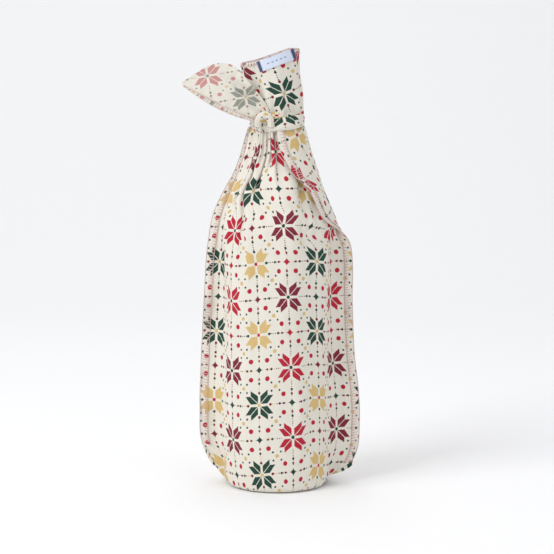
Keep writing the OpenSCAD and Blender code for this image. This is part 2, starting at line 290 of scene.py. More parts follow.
def section(z, u, front):
    """Places in X-Y of the columns u at height z."""
    points, length, first, last, column = carrier(z, front)
    total = length[-1]
    fine_u = np.linspace(u[0], u[-1], 1600)
    du = fine_u[1] - fine_u[0]
    along = (fine_u - u[0]) / PANEL_W
    edge_l, edge_r = first / PANEL_W, 1 - (total - last) / PANEL_W
    window = ease(along, edge_l + 0.01, edge_l + 0.07) * (1 - ease(along, edge_r - 0.07, edge_r - 0.01))
    slope = folds(fine_u, z, front) * window
    least = 0.55 * float(ease(z, 0.150, 0.180))
    # the middle column keeps its place, unless one side would have too little cloth
    column_u = PRINT_U if front else 0.0
    column = min(max(column, total - (u[-1] - column_u)), column_u - u[0])
    left = fine_u < column_u
    scale_l = max(fold_scale(slope[left], du, column), least)
    scale_r = max(fold_scale(slope[~left], du, total - column), least)
    angle = slope * np.where(left, scale_l, scale_r)
    advance = np.append(0, np.cumsum(np.cos(angle[:-1]) * du))
    lift = np.append(0, np.cumsum(np.sin(angle[:-1]) * du))
    lift_there = np.interp(column_u, fine_u, lift)
    drift = np.interp(along, [0, (column_u - u[0]) / PANEL_W, 1], [0, lift_there, lift[-1]])
    lift = (lift - drift) * window
    k = np.searchsorted(fine_u, column_u)
    advance[:k] *= column / advance[k]
    advance[k:] = column + (advance[k:] - advance[k]) * (total - column) / (advance[-1] - advance[k])
    x = np.interp(advance, length, points[:, 0])
    y = np.interp(advance, length, points[:, 1])
    outward = np.stack([x, y], 1) / (np.hypot(x, y)[:, None] + 1e-12)
    # valleys go in no further than the bottle lets them
    room = np.maximum(float(body_r(z)) - float(clear_of_bottle(z)), LEAST_GAP)
    depth = np.maximum(np.max(lift) - lift, 0) * window
    depth = room * (1 - np.exp(-depth / room))
    place = np.stack([x, y], 1) - outward * depth[:, None]
    return np.stack([np.interp(u, fine_u, place[:, 0]), np.interp(u, fine_u, place[:, 1])], 1)


def panel_grid(front):
    """Positions and flat-cloth coordinates of one panel, as (row, column, 3) and (row, column, 2)."""
    side = 1.0 if front else -1.0
    u = np.linspace(-PANEL_W / 2, PANEL_W / 2, COLUMNS)
    levels = np.linspace(0, TOP_Z, 110)
    table = np.array([section(z, u, front) for z in levels])

    def at(z):
        """X-Y of every column, each at its own height."""
        k = np.clip(z / TOP_Z * (len(levels) - 1), 0, len(levels) - 1.001)
        i = k.astype(int)
        t = (k - i)[..., None]
        cols = np.arange(COLUMNS)
        return table[i, cols] * (1 - t) + table[i + 1, cols] * t

    foot = at(np.full(COLUMNS, EAR_RISE))
    for _ in range(7):
        away = np.abs(foot[:, 0])
        ear = np.maximum(np.where(foot[:, 0] < 0, left_ear(away), right_ear(away)), FLOOR_GAP)
        foot = at(ear)
    outer = ease(ear, 0.4 * MM, 12 * MM)
    start = ear + outer * EAR_RISE
    rim = at(start)
    grid = np.zeros((BASE_ROWS + ROWS, COLUMNS, 3))
    flat = np.zeros((BASE_ROWS + ROWS, COLUMNS, 2))
    flat[..., 0] = u
    inset = 1 - (1 - outer) * HEEL / BODY_R  # the base circle is smaller than the body by the heel
    for j in range(BASE_ROWS):
        f = j / BASE_ROWS
        grid[j, :, 0] = rim[:, 0] * inset
        grid[j, :, 1] = -side * 0.5 * MM * (1 - f) + rim[:, 1] * f * inset
        grid[j, :, 2] = ear + (start - ear) * f
        flat[j, :, 1] = BASE_RUN - np.abs(rim[:, 1]) * (1 - f) + ear * outer
    for j in range(ROWS):
        f = (j / (ROWS - 1)) ** 1.15
        z = start + f * (TOP_Z - start)
        rounding = np.clip(1 - (z - start) / HEEL, 0, 1)
        shrink = 1 - (1 - outer) * (1 - np.sqrt(1 - rounding ** 2)) * HEEL / BODY_R
        grid[BASE_ROWS + j, :, :2] = at(z) * shrink[:, None]
        grid[BASE_ROWS + j, :, 2] = z
        flat[BASE_ROWS + j, :, 1] = BASE_RUN + z
    height = grid[..., 2]
    away_left = ease(-u, -9 * MM, 45 * MM)
    away_right = ease(u, 20 * MM, 58 * MM)
    flat[..., 1] += 5 * MM * away_left + 4.5 * MM * away_right
    flat[..., 1] -= 3.5 * MM * ease(u, 9 * MM, 32 * MM) * (1 - ease(height, 0.03, 0.14))
    return grid, flat


def normals_of(grid):
    """Unit normals of a grid, on the side where columns cross rows."""
    du = np.gradient(grid, axis=1)
    dv = np.gradient(grid, axis=0)
    n = np.cross(du, dv)
    return n / (np.linalg.norm(n, axis=-1, keepdims=True) + 1e-12)


SLACK = 0.55 * MM  # height of the broad waves on the bottle
CREASE = 0.16 * MM  # height of the fine creases
SWAY = 2.4 * MM  # how far a loose side waves to the front and the back


def crumple(grid, flat, front):
    """Adds the slack and creases that the cloth has on the bottle and on the loose sides."""
    side = 1.0 if front else -1.0
    n = normals_of(grid) * side
    height = grid[..., 2]
    reach = np.abs(flat[..., 0]) / (PANEL_W / 2)
    on_body = (1 - ease(reach, 0.60, 0.78)) * ease(height, 2 * MM, 25 * MM)
    seed = 3 if front else 11
    slack = SLACK * ripple(flat, (34 * MM, 170 * MM), seed)
    creases = CREASE * ripple(flat, (13 * MM, 38 * MM), seed + 1)
    lift = (slack + creases) * on_body * (1 - 0.6 * ease(height, 0.2, 0.24))
    grid = keep_clear(grid + n * lift[..., None])
    # both layers of a loose side sway together
    x, z = grid[..., 0], grid[..., 2]
    free = ease(np.abs(x), 41 * MM, 56 * MM) * (1 - ease(z, 0.17, 0.2))
    sway = SWAY * ripple(np.stack([x, z], -1), (90 * MM, 70 * MM), 21)
    grid[..., 1] += free * sway
    return grid


# ---------------------------------------------------------------- meshes


def on_bag(piece, node):
    """Fixes a piece to the bag's body, in place of a CAD node."""
    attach(piece, "bag")
    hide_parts(node)


def mesh_object(name, verts, faces, uvs=None, materials=()):
    mesh = bpy.data.meshes.new(name)
    mesh.from_pydata([tuple(v) for v in verts], [], faces)
    obj = bpy.data.objects.new(name, mesh)
    bpy.context.scene.collection.objects.link(obj)
    if uvs is not None:
        layer = mesh.uv_layers.new(name="cloth")
        loop_vertex = np.zeros(len(mesh.loops), np.int64)
        mesh.loops.foreach_get("vertex_index", loop_vertex)
        layer.data.foreach_set("uv", np.asarray(uvs, np.float32)[loop_vertex].ravel())
    for m in materials:
        mesh.materials.append(m)
    mesh.shade_smooth()
    return obj


def grid_faces(rows, cols, flip=False):
    faces = []
    for j in range(rows - 1):
        for i in range(cols - 1):
            quad = (j * cols + i, j * cols + i + 1, (j + 1) * cols + i + 1, (j + 1) * cols + i)
            faces.append(quad[::-1] if flip else quad)
    return faces


def cloth_object(name, grid, flat, flip, materials, thickness=CLOTH):
    """A sheet with thickness. The first material is on the grid's own side, the second on its back."""
    faces = grid_faces(*grid.shape[:2], flip)
    obj = mesh_object(name, grid.reshape(-1, 3), faces, flat.reshape(-1, 2), materials)
    solid = obj.modifiers.new("thickness", "SOLIDIFY")
    solid.thickness = thickness
    solid.offset = -1
    solid.use_even_offset = False
    solid.material_offset = 1
    solid.material_offset_rim = 0
    return obj


def tube(points, radius, sides=5):
    """Vertices and faces of a thin tube along points."""
    p = np.asarray(points, float)
    count = len(p)
    ahead = np.gradient(p, axis=0)
    ahead /= np.linalg.norm(ahead, axis=1)[:, None] + 1e-12
    up = np.array([0.31, 0.17, 0.93])
    a = np.cross(ahead, up)
    a /= np.linalg.norm(a, axis=1)[:, None] + 1e-12
    b = np.cross(ahead, a)
    ring = np.linspace(0, 2 * math.pi, sides, endpoint=False)
    cos, sin = np.cos(ring)[None, :, None], np.sin(ring)[None, :, None]
    verts = p[:, None] + radius * (cos * a[:, None] + sin * b[:, None])
    faces = []
    for j in range(count - 1):
        for i in range(sides):
            m = (i + 1) % sides
            faces.append((j * sides + i, j * sides + m, (j + 1) * sides + m, (j + 1) * sides + i))
    faces.append(tuple(range(sides))[::-1])
    faces.append(tuple((count - 1) * sides + i for i in range(sides)))
    return verts.reshape(-1, 3), faces


def join_tubes(name, paths, radius, material):
    verts, faces, base = [], [], 0
    for path in paths:
        v, f = tube(path, radius)
        verts.append(v)
        faces += [tuple(i + base for i in face) for face in f]
        base += len(v)
    return mesh_object(name, np.vstack(verts), faces, None, [material])


def resample(lines, count):
    """Lines that run side by side, cut at places that are evenly spaced along the first one."""
    lines = [np.asarray(line, float) for line in lines]
    s = np.append(0, np.cumsum(np.linalg.norm(np.diff(lines[0], axis=0), axis=1)))
    t = np.linspace(0, s[-1], count)
    return [np.stack([np.interp(t, s, line[:, i]) for i in range(3)], 1) for line in lines], s[-1]


def overlock(name, edge, face_a, face_b, material, pitch=2.1 * MM, radius=0.2 * MM):
    """Overlock stitches over an edge. face_a and face_b are the line of needle stitches on each face."""
    places = 2000
    (edge, face_a, face_b), length = resample((edge, face_a, face_b), places)
    out = edge - (face_a + face_b) / 2
    out /= np.linalg.norm(out, axis=1)[:, None] + 1e-12
    off = face_a - face_b
    off /= np.linalg.norm(off, axis=1)[:, None] + 1e-12
    stitches = int(length / pitch)

    def pick(line, t):
        k = np.clip(t / stitches, 0, 1) * (places - 1)
        i = np.minimum(k.astype(int), places - 2)
        f = (k - i)[:, None]
        return line[i] * (1 - f) + line[i + 1] * f

    steps = 16
    t = np.arange(stitches * steps) / steps
    phase = t % 1
    # one stitch: over face a, round the edge, back over face b
    on_a = phase < 0.5
    depth = np.where(on_a, 1 - 2 * phase, 2 * phase - 1)
    line = np.where(on_a[:, None], pick(face_a, t), pick(face_b, t))
    rim = pick(edge, t)
    path = rim * (1 - depth[:, None]) + line * depth[:, None]
    sign = np.where(on_a, 1.0, -1.0)
    over = np.minimum(depth / 0.12, 1)  # 0 round the edge, 1 on a face
    path += pick(off, t) * (sign * radius * 0.9 * over)[:, None]
    path += pick(out, t) * (radius * 1.2 * (1 - over))[:, None]
    paths = [path]
    tt = np.arange(stitches * 6) / 6
    dip = np.abs(np.sin(math.pi * tt))
    for line, sign in ((face_a, 1), (face_b, -1)):
        paths.append(pick(line, tt) + pick(off, tt) * (sign * radius * (0.2 + dip))[:, None])
    wave = np.sin(2 * math.pi * tt)
    chain = pick(edge, tt) + pick(out, tt) * radius * 1.4 + pick(off, tt) * (wave * 0.35 * MM)[:, None]
    paths.append(chain)
    return join_tubes(name, paths, radius, material)


# ---------------------------------------------------------------- materials


class Nodes:
    """Shader nodes written as arithmetic."""

    def __init__(self, name):
        self.material = bpy.data.materials.new(name)
        self.material.use_nodes = True
        self.tree = self.material.node_tree
        self.tree.nodes.clear()
        self.shader = self.tree.nodes.new("ShaderNodeBsdfPrincipled")
        output = self.tree.nodes.new("ShaderNodeOutputMaterial")
        self.tree.links.new(self.shader.outputs[0], output.inputs[0])

    def feed(self, socket, value):
        """Links a term to a socket, or sets the socket to a number or a colour."""
        if isinstance(value, Term):
            self.tree.links.new(value.socket, socket)
        elif isinstance(value, tuple):
            socket.default_value = (*value, 1.0)
        else:
            socket.default_value = value

    def set(self, **values):
        for name, value in values.items():
            self.feed(self.shader.inputs[name.replace("_", " ")], value)

    def math(self, operation, *args, clamp=False):
        node = self.tree.nodes.new("ShaderNodeMath")
        node.operation = operation
        node.use_clamp = clamp
        for i, a in enumerate(args):
            self.feed(node.inputs[i], a)
        return Term(self, node.outputs[0])

    def split(self, vector):
        node = self.tree.nodes.new("ShaderNodeSeparateXYZ")
        self.tree.links.new(vector, node.inputs[0])
        return Term(self, node.outputs[0]), Term(self, node.outputs[1]), Term(self, node.outputs[2])

    def join(self, x, y, z=0.0):
        node = self.tree.nodes.new("ShaderNodeCombineXYZ")
        for i, a in enumerate((x, y, z)):
            self.feed(node.inputs[i], a)
        return Term(self, node.outputs[0])

    def uv(self):
        node = self.tree.nodes.new("ShaderNodeUVMap")
        node.uv_map = "cloth"
        return Term(self, node.outputs[0])

    def place(self):
        node = self.tree.nodes.new("ShaderNodeTexCoord")
        return Term(self, node.outputs["Object"])

    def noise(self, vector, scale, detail=2.0, rough=0.5):
        node = self.tree.nodes.new("ShaderNodeTexNoise")
        node.inputs["Scale"].default_value = scale
        node.inputs["Detail"].default_value = detail
        node.inputs["Roughness"].default_value = rough
        self.tree.links.new(vector.socket, node.inputs["Vector"])
        return Term(self, node.outputs[0])

    def mix(self, amount, a, b):
        node = self.tree.nodes.new("ShaderNodeMix")
        node.data_type = "RGBA"
        for index, value in ((0, amount), (6, a), (7, b)):
            self.feed(node.inputs[index], value)
        return Term(self, node.outputs[2])

    def bump(self, height, distance, strength=1.0):
        node = self.tree.nodes.new("ShaderNodeBump")
        node.inputs["Distance"].default_value = distance
        node.inputs["Strength"].default_value = strength
        self.tree.links.new(height.socket, node.inputs["Height"])
        return Term(self, node.outputs[0])


def math_method(operation, swapped=False):
    """A method of Term that adds one math node. When swapped, the term comes last."""

    def method(self, *others):
        values = (*others, self) if swapped else (self, *others)
        return self.nodes.math(operation, *values)

    return method


class Term:
    """One value in a shader. Arithmetic on it adds math nodes."""

    def __init__(self, nodes, socket):
        self.nodes, self.socket = nodes, socket

    __add__ = math_method("ADD")
    __sub__ = math_method("SUBTRACT")
    __mul__ = math_method("MULTIPLY")
    __truediv__ = math_method("DIVIDE")
    __radd__ = math_method("ADD", swapped=True)
    __rsub__ = math_method("SUBTRACT", swapped=True)
    __rmul__ = math_method("MULTIPLY", swapped=True)
    abs = math_method("ABSOLUTE")
    floor = math_method("FLOOR")
    sin = math_method("SINE")
    low = math_method("MINIMUM")
    high = math_method("MAXIMUM")
    mod = math_method("FLOORED_MODULO")
    over = math_method("GREATER_THAN")


RED = (0.46, 0.008, 0.035)
DARK_RED = (0.20, 0.012, 0.035)
GREEN = (0.010, 0.052, 0.034)
GOLD = (0.66, 0.47, 0.19)
COTTON = (0.83, 0.79, 0.70)


def print_masks(m, u, v):
    """The printed pattern as (strength, colour) layers. Lengths are in motif steps."""
    soft = 0.010

    def inside(distance):
        return m.math("MULTIPLY_ADD", distance, -1 / soft, 0.5, clamp=True)

    def dot(x, y, radius):
        return inside(m.math("SQRT", x * x + y * y) - radius)

    a = u / PRINT_STEP
    b = v / PRINT_STEP
    k = (a + 0.5).floor()
    r = (b + 0.5).floor()
    x = (a - k).abs()
    y = (b - r).abs()
    odd = k.mod(2.0)
    is_star = (k + r).mod(2.0).over(0.5)
    is_flake = 1.0 - is_star
    pair = ((k + 1.0) * 0.5).floor().mod(2.0)  # neighbouring pairs of columns swap their colours
    down = TOP_ROW - r
    run = (down * 0.5).floor().mod(4.0).over(1.5)
    swap = (pair - run).abs()  # 1 where the column's second colour is printed
    lo, hi = x.low(y), x.high(y)

    gold_flake = odd * (1.0 - swap) * is_flake
    line = 0.012 * (1.0 - gold_flake)
    lo_p, hi_p = lo / 1.13, hi / 1.13
    petal = (0.034 - lo_p).high(lo_p - 0.237).high(lo_p + line - hi_p).high(hi_p - 0.73 * lo_p - 0.206)
    petal = inside(petal) * is_flake

    star = m.math("SQRT", x) + m.math("SQRT", y) - 0.395
    star = inside((star * 0.5).low(x + y - 0.09)) * is_star
    fx, fy = 0.5 - x, 0.5 - y  # from the middle between four motifs
    ring = dot(x - 0.262, y - 0.262, 0.069) * is_star
    middle = dot(fx, fy, 0.055)
    link = dot(x - 0.382, y - 0.382, 0.030)
    tips = dot(hi - 0.345, lo, 0.040) * is_flake * odd
    centre = dot(x, y, 0.050) * is_flake
    axis_big = dot(hi - 0.385, lo, 0.036) * is_star
    axis_mid = dot(hi - 0.262, lo, 0.033) * is_star
    fine_step = 0.062
    along = hi.mod(fine_step) - fine_step / 2
    tiny = dot(along, lo, 0.017) * hi.over(0.17) * (1.0 - is_flake * (0.34 - hi).over(0.0))
    flake_colour = m.mix(odd, m.mix(swap, DARK_RED, RED), m.mix(swap, GOLD, GREEN))
    star_colour = m.mix(odd, m.mix(run, RED, GREEN), m.mix(swap, DARK_RED, GREEN))
    accent = m.mix(odd, GREEN, m.mix(swap, RED, GOLD))
    tip_colour = m.mix(odd, DARK_RED, m.mix(swap, GREEN, DARK_RED))
    tiny_colour = m.mix(odd, DARK_RED, m.mix(run, GREEN, GOLD))
    return [(tiny, tiny_colour), (link, GREEN), (middle, GOLD), (petal, flake_colour), (star, star_colour),
            (ring, RED), (tips, tip_colour), (centre, accent), (axis_mid, DARK_RED), (axis_big, GREEN)]


def cotton(name, fade, tint=COTTON):
    """Plain-weave cotton with the print. fade is 0 on the right side and towards 1 on the wrong side."""
    m = Nodes(name)
    uv = m.uv()
    u, v, _ = m.split(uv.socket)
    drift = m.noise(uv, 900.0, 1.0)
    u2 = u + (drift - 0.5) * (0.5 * MM)
    v2 = v + (m.noise(uv, 730.0, 1.0) - 0.5) * (0.5 * MM)
    soil = m.noise(uv, 28.0, 3.0)
    thread = 2 * math.pi / (0.55 * MM)
    warp = (u * thread).sin()
    weft = (v * thread).sin()
    weave = warp * weft
    slub = m.noise(m.join(u * 60.0, v * 900.0), 1.0, 2.0)
    cloth = m.mix((soil - 0.35) * 1.4, tuple(0.955 * c for c in tint), tint)
    cloth = m.mix(slub * 0.10, cloth, tuple(0.80 * c for c in tint))
    colour = cloth
    for strength, ink in print_masks(m, u2 - PRINT_U, v2 - PRINT_V):
        cover = strength * (1.0 - fade)
        cover = cover * (0.98 + 0.02 * weave)
        colour = m.mix(cover, colour, ink)
    m.set(Base_Color=colour, Roughness=0.86 + (slub - 0.5) * 0.1)
    m.set(Specular_IOR_Level=0.12, Sheen_Weight=0.03, Sheen_Roughness=0.5)
    height = weave * 0.5 + slub * 0.8
    m.set(Normal=m.bump(height, 0.05 * MM, 0.5))
    return m.material


def thread_material(name, colour):
    m = Nodes(name)
    place = m.place()
    x, y, z = m.split(place.socket)
    twist = ((x + y * 0.7 + z * 1.3) * (2 * math.pi / (0.5 * MM))).sin()
    tone = m.noise(place, 300.0, 2.0)
    m.set(Base_Color=m.mix(tone, tuple(0.86 * c for c in colour), colour), Roughness=0.7 + tone * 0.2)
    m.set(Sheen_Weight=0.2, Normal=m.bump(twist, 0.04 * MM, 0.5))
    return m.material


def label_material():
    """Woven ribbon: pale blue satin, navy folds at its ends and a row of small diamonds."""
    m = Nodes("label_ribbon")
    uv = m.uv()
    u, v, _ = m.split(uv.socket)
    weft = (v * (2 * math.pi / (0.3 * MM))).sin()
    warp = (u * (2 * math.pi / (0.42 * MM))).sin()
    inner = (u - LABEL_L / 2).abs()
    ends = (inner - 11.8 * MM) / (0.3 * MM)
    ends = m.math("MULTIPLY_ADD", ends, 1.0, 0.5, clamp=True)
    rib = (v * (2 * math.pi / (1.3 * MM)) + u * 900.0).sin() * 0.5 + 0.5
    across = ((u + 0.4 * MM).mod(3.2 * MM) - 1.6 * MM).abs()
    diamond = (across * 0.55 + (v - 4 * MM).abs() - 0.62 * MM) / (0.15 * MM)
    diamond = m.math("MULTIPLY_ADD", diamond, -1.0, 0.5, clamp=True) * (1.0 - ends)
    diamond = diamond * (1.0 - inner.over(8.2 * MM))
    base = m.mix(m.noise(uv, 400.0, 2.0), (0.66, 0.74, 0.90), (0.76, 0.82, 0.94))
    base = m.mix(diamond * 0.75, base, (0.10, 0.16, 0.42))
    base = m.mix(ends * 0.93, base, m.mix(rib, (0.018, 0.035, 0.14), (0.05, 0.09, 0.28)))
    m.set(Base_Color=base, Roughness=0.5 + 0.12 * weft, Sheen_Weight=0.3)
    m.set(Normal=m.bump(weft * 0.6 + warp * 0.4, 0.06 * MM, 0.6))
    return m.material


def glass_material():
    m = Nodes("green_glass")
    place = m.place()
    seeds = m.noise(place, 220.0, 2.0)
    flow = m.noise(place, 14.0, 3.0)
    m.set(Base_Color=m.mix(flow, (0.05, 0.11, 0.04), (0.09, 0.17, 0.06)), Roughness=0.05 + seeds * 0.06)
    m.set(IOR=1.5, Transmission_Weight=0.85, Normal=m.bump(flow, 0.4 * MM, 0.2))
    return m.material


def cork_material():
    m = Nodes("natural_cork")
    place = m.place()
    grain = m.noise(place, 500.0, 4.0, 0.65)
    pits = m.noise(place, 160.0, 3.0).over(0.62)
    tone = m.mix(grain, (0.46, 0.28, 0.14), (0.68, 0.47, 0.28))
    m.set(Base_Color=m.mix(pits, tone, (0.20, 0.11, 0.06)), Roughness=0.82 + grain * 0.1)
    m.set(Normal=m.bump(grain - pits * 0.6, 0.25 * MM, 0.6))
    return m.material


def foil_material():
    m = Nodes("capsule_foil")
    place = m.place()
    x, y, z = m.split(place.socket)
    wrinkle = m.noise(m.join(x, y, z * 0.15), 260.0, 3.0)
    rings = (z * (2 * math.pi / (2.4 * MM))).sin()
    tone = m.noise(place, 60.0, 2.0)
    m.set(Base_Color=m.mix(tone, (0.20, 0.008, 0.028), (0.27, 0.012, 0.04)), Metallic=0.7)
    m.set(Roughness=0.3 + wrinkle * 0.18, Normal=m.bump(wrinkle + rings * 0.12, 0.12 * MM, 0.5))
    return m.material


def floor_material():
    m = Nodes("studio_paper")
    place = m.place()
    fibre = m.noise(place, 90.0, 4.0)
    m.set(Base_Color=m.mix(fibre, (0.925, 0.925, 0.93), (0.94, 0.94, 0.945)), Roughness=0.9)
    m.set(Normal=m.bump(fibre, 0.05 * MM, 0.2))
    return m.material


right_side = cotton("cotton_right_side", 0.0)
wrong_side = cotton("cotton_wrong_side", 0.38, tuple(0.98 * c for c in COTTON))
cream_thread = thread_material("overlock_thread", (0.80, 0.74, 0.68))
blush_thread = thread_material("blush_thread", (0.78, 0.60, 0.56))
seam_thread = thread_material("seam_thread", (0.72, 0.52, 0.48))
navy_thread = thread_material("label_thread", (0.03, 0.05, 0.17))
ribbon = label_material()

for node, material in (("bottle", glass_material()), ("cork", cork_material()), ("capsule", foil_material())):
    obj = frame["nodes"][node]
    obj.data.materials.clear()
    obj.data.materials.append(material)

# ---------------------------------------------------------------- camera, light and floor

VIEW_Z = 152 * MM
DISTANCE = 1.5
ELEVATION = math.radians(8)
VIEW_WIDTH = 402 * MM

camera_data = bpy.data.cameras.new("camera")
camera = bpy.data.objects.new("camera", camera_data)
bpy.context.scene.collection.objects.link(camera)
camera.location = (0, -DISTANCE * math.cos(ELEVATION), VIEW_Z + DISTANCE * math.sin(ELEVATION))
aim = Vector((0, 0, VIEW_Z)) - camera.location
camera.rotation_euler = aim.to_track_quat("-Z", "Y").to_euler()
camera_data.sensor_width = 36
camera_data.lens = 36 * DISTANCE / VIEW_WIDTH
bpy.context.scene.camera = camera


def area_light(name, place, target, size, power):
    data = bpy.data.lights.new(name, "AREA")
    data.shape = "RECTANGLE"
    data.size, data.size_y = size
    data.energy = power
    light = bpy.data.objects.new(name, data)
    bpy.context.scene.collection.objects.link(light)
    light.location = place
    light.rotation_euler = (Vector(target) - Vector(place)).to_track_quat("-Z", "Y").to_euler()


area_light("key", (-1.1, -0.9, 1.3), (0, 0, 0.15), (0.9, 0.9), 15)
area_light("fill", (1.3, -1.0, 0.7), (0, 0, 0.15), (1.3, 1.3), 2.5)
area_light("top", (0.1, 0.3, 1.9), (0, 0, 0.1), (1.6, 1.6), 10)

world = bpy.data.worlds.new("studio")
world.use_nodes = True
world.node_tree.nodes["Background"].inputs[0].default_value = (0.97, 0.98, 1.0, 1)
world.node_tree.nodes["Background"].inputs[1].default_value = 0.56
bpy.context.scene.world = world
bpy.context.scene.view_settings.view_transform = "Standard"


def backdrop():
    """A sweep of pale paper: floor, a wide bend and a wall."""
    half, bend, depth, height = 3.0, 0.8, 1.6, 2.6
    profile = [(-3.0, 0.0), (depth - bend, 0.0)]
    for a in np.linspace(0, math.pi / 2, 16)[1:]:
        profile.append((depth - bend + bend * math.sin(a), bend - bend * math.cos(a)))
    profile.append((depth, height))
    verts = [(x, y, z) for y, z in profile for x in (-half, half)]
    faces = [(2 * i, 2 * i + 1, 2 * i + 3, 2 * i + 2) for i in range(len(profile) - 1)]
    obj = mesh_object("backdrop", verts, faces, None, [floor_material()])


backdrop()

# ---------------------------------------------------------------- panels and side seams

FLAP_MOTIF = (17.5 * MM, 223 * MM)  # place of a red motif on the flap
FLAP_COLUMN, FLAP_ROW = 0, 4
FLAP_TURN = math.radians(20)


def flap_print(grid, flat):
    """Flat coordinates of the back panel: a red motif lies on the flap, where the cloth is pulled askew."""
    away = np.hypot(grid[..., 0] - FLAP_MOTIF[0], grid[..., 2] - FLAP_MOTIF[1]) + (grid[..., 1] > 0)
    centre = flat[np.unravel_index(np.argmin(away), away.shape)]
    du, dv = flat[..., 0] - centre[0], flat[..., 1] - centre[1]
    turn = FLAP_TURN * ease(grid[..., 2], 0.165, 0.225) * ease(flat[..., 0], -15 * MM, 52 * MM)
    u = PRINT_U + FLAP_COLUMN * PRINT_STEP + du * np.cos(turn) - dv * np.sin(turn)
    v = PRINT_V + (TOP_ROW - FLAP_ROW) * PRINT_STEP + dv * np.cos(turn) + du * np.sin(turn)
    return np.stack([u, v], -1)


front_grid, front_flat = panel_grid(True)
back_grid, back_flat = panel_grid(False)
front_grid = crumple(front_grid, front_flat, True)
back_grid = crumple(back_grid, back_flat, False)

front_cloth = cloth_object("front_cloth", front_grid, front_flat, False, [right_side, wrong_side])
back_print = flap_print(back_grid, back_flat)
back_cloth = cloth_object("back_cloth", back_grid, back_print, True, [right_side, wrong_side])

for cloth, node in ((front_cloth, "front_panel"), (back_cloth, "back_panel")):
    on_bag(cloth, node)


def at_heights(line, heights):
    """The places where a rising line passes some heights."""
    return np.stack([np.interp(heights, line[:, 2], line[:, i]) for i in range(3)], 1)


def seam_lines(column_edge, column_in):
    """The edge of a side seam and its needle lines on the front and the back, from the bottom up."""
    skip = BASE_ROWS // 2
    n_front = normals_of(front_grid)
    n_back = -normals_of(back_grid)
    edge = (front_grid[skip:, column_edge] + back_grid[skip:, column_edge]) / 2
    a = (front_grid + n_front * THREAD_LIFT)[skip:, column_in]
    b = (back_grid + n_back * THREAD_LIFT)[skip:, column_in]
    return edge, at_heights(a, edge[:, 2]), at_heights(b, edge[:, 2])


inset_columns = int(round(SEAM_W / PANEL_W * (COLUMNS - 1)))
for name, edge_column, in_column, node in (
        ("left_overlock", 0, inset_columns, "left_seam_stitching"),
        ("right_overlock", COLUMNS - 1, COLUMNS - 1 - inset_columns, "right_seam_stitching")):
    seam = overlock(name, *seam_lines(edge_column, in_column), seam_thread, radius=0.27 * MM)
    on_bag(seam, node)

# ---------------------------------------------------------------- upper tail


def spline(points, t):
    """A smooth curve through points, at shares t of its way."""
    p = np.array(points, float)
    p = np.vstack([2 * p[0] - p[1], p, 2 * p[-1] - p[-2]])
    k = np.clip(np.asarray(t, float), 0, 1) * (len(p) - 3)
    i = np.minimum(k.astype(int), len(p) - 4)
    f = (k - i)[..., None]
    a, b, c, d = p[i], p[i + 1], p[i + 2], p[i + 3]
    square, cube = 2 * a - 5 * b + 4 * c - d, 3 * b - a - 3 * c + d
    return 0.5 * (2 * b + (c - a) * f + square * f ** 2 + cube * f ** 3)


def turned_print(x, z, anchor, column, row, degrees, stretch=(1, 1)):
    """Flat-cloth coordinates with motif (column, row) at anchor and the print turned by some degrees."""
    a = math.radians(degrees)
    dx, dz = x - anchor[0] * MM, z - anchor[1] * MM
    u = PRINT_U + column * PRINT_STEP + stretch[0] * (dx * math.cos(a) + dz * math.sin(a))
    v = PRINT_V + (TOP_ROW - row) * PRINT_STEP + stretch[1] * (dz * math.cos(a) - dx * math.sin(a))
    return np.stack([u, v], -1)


RIM_CENTRE = -4.8 * MM
RIM_A, RIM_B = 20.6 * MM, 17.6 * MM  # half the rim's width and half its depth
SLEEVE_FOOT = band_low.z + 4 * MM
# Height of the upper tail's rim from left to right
rim_height = curve([(-26, 306.3), (-18, 307.6), (-10, 309.8), (0, 313.2), (9, 316.4), (16, 316.6)])


def sleeve(angle, share):
    """A place on the upper tail: angle round the bottle, share of the way from the knot to the rim."""
    gathers = 1.0 * np.sin(9 * angle + 0.6) + 0.6 * np.sin(14 * angle + 2.0)
    r0 = NECK_R + (2.4 + gathers) * MM
    open_out = ease(share, 0.0, 1.0) ** 1.15
    x0, y0 = r0 * np.cos(angle), r0 * np.sin(angle)
    x1 = RIM_CENTRE + RIM_A * np.cos(angle)
    y1 = RIM_B * np.sin(angle)
    x = x0 + (x1 - x0) * open_out
    y = y0 + (y1 - y0) * open_out
    # a fold on the left of the front, which deepens towards the rim
    fold = np.exp(-((np.mod(angle + math.radians(128) + math.pi, 2 * math.pi) - math.pi) / 0.2) ** 2)
    pull = 1 - fold * 0.13 * ease(share, 0.15, 0.8)
    wave = 1 + 0.02 * np.sin(3 * angle + 1.0 + 2 * share) * share + 0.012 * np.sin(5 * angle + 5 * share)
    x, y = x * pull * wave, y * pull * wave
    z = SLEEVE_FOOT + share * (rim_height(x) - SLEEVE_FOOT)
    place = np.stack([x, y, z], -1)
    return keep_clear(place)


SLEEVE_COLS, SLEEVE_ROWS = 200, 70


def sleeve_uv(angle, z):
    return turned_print((angle + math.pi / 2) * 18.5 * MM, z, (6.9, 285.6), 1, 1, 16)


def build_sleeve():
    # the sheet's two ends meet at the back
    angle = np.linspace(-1.5 * math.pi, 0.5 * math.pi, SLEEVE_COLS)
    share = np.linspace(0, 1, SLEEVE_ROWS)
    aa, ss = np.meshgrid(angle, share)
    grid = sleeve(aa, ss)
    flat = sleeve_uv(aa, grid[..., 2])
    lift = 0.35 * MM * ripple(flat, (16 * MM, 60 * MM), 31) * ease(ss, 0.1, 0.4)
    grid = keep_clear(grid + normals_of(grid) * lift[..., None])
    return grid, flat


sleeve_grid, sleeve_flat = build_sleeve()
sleeve_cloth = cloth_object("upper_tail_cloth", sleeve_grid, sleeve_flat, False, [right_side, wrong_side])
on_bag(sleeve_cloth, "upper_tail")

